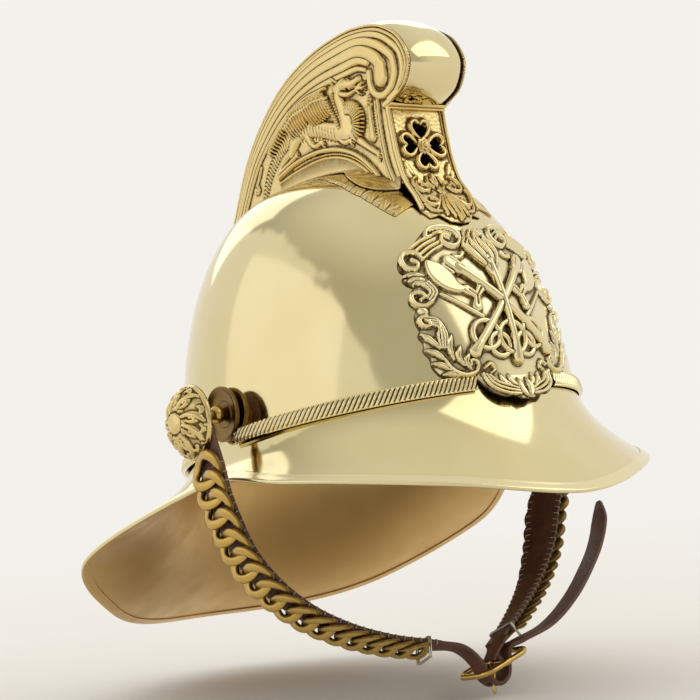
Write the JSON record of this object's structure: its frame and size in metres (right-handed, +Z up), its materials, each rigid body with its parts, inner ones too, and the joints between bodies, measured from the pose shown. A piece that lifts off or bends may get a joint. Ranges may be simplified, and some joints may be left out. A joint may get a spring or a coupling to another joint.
{
  "type": "brass firefighter helmet",
  "caption": "Brass helmet with raised skull, flared peak and neck guard, high embossed comb, rope band, front badge with crossed axes, and a chain-faced leather chin strap with buckle.",
  "frame": {"origin": "centre of the head opening, level with the brim's edge beside the ears", "axes": "-Y is the front, -X is the wearer's right, +Z is up towards the comb"},
  "size_m": [0.2598, 0.3313, 0.3287],
  "materials": {
    "polished_brass": "polished",
    "embossed_brass": "embossed, darkened in the hollows",
    "dark_brass": "patinated",
    "plain_brass": "as drawn",
    "chain_brass": "bright, deep yellow",
    "brown_leather": "smooth, waxed",
    "cotton_lace": "woven"
  },
  "bodies": {
    "helmet": {"skull_shell": "polished_brass", "front_peak": "polished_brass", "neck_guard": "polished_brass", "edge_binding": "polished_brass", "rope_band_front": "embossed_brass", "rope_band_rear": "embossed_brass", "comb_side_right": "embossed_brass", "comb_side_left": "embossed_brass", "comb_top_roll": "polished_brass", "comb_front_plate": "embossed_brass", "quatrefoil_boss": "embossed_brass", "comb_foot_right": "embossed_brass", "comb_foot_left": "embossed_brass", "comb_screws": "polished_brass", "comb_nuts": "plain_brass", "badge_plate": "embossed_brass", "badge_trophy": "embossed_brass", "badge_studs": "plain_brass", "badge_nuts": "plain_brass", "boss_base_right": "dark_brass", "boss_base_left": "dark_brass", "boss_stud_right": "polished_brass", "boss_stud_left": "polished_brass", "boss_nuts": "plain_brass", "liner_sweatband": "brown_leather", "liner_crown": "brown_leather", "liner_lace": "cotton_lace", "liner_clips": "plain_brass"},
    "chin_strap": {"strap_leather_right": "brown_leather", "strap_leather_left": "brown_leather", "chain_right": "chain_brass", "chain_left": "chain_brass", "chain_ties": "plain_brass", "strap_eyelets": "plain_brass", "rosette_right": "embossed_brass", "rosette_left": "embossed_brass"},
    "buckle": {"buckle_frame": "chain_brass"},
    "prong": {"buckle_prong": "polished_brass"}
  },
  "joints": [
    {"name": "chin_strap_swing", "type": "hinge", "parent": "helmet", "child": "chin_strap", "pos_m": [0, -0.003, 0.032], "axis": [1, 0, 0], "range_deg": [-12, 14]},
    {"name": "buckle_frame_tilt", "type": "hinge", "parent": "chin_strap", "child": "buckle", "pos_m": [0.006, -0.0685, -0.0965], "axis": [0.043, 0.9903, -0.1324], "range_deg": [-2, 12]},
    {"name": "buckle_prong_turn", "type": "hinge", "parent": "buckle", "child": "prong", "pos_m": [0.006, -0.0685, -0.0965], "axis": [0.043, 0.9903, -0.1324], "range_deg": [-6, 6]}
  ]
}
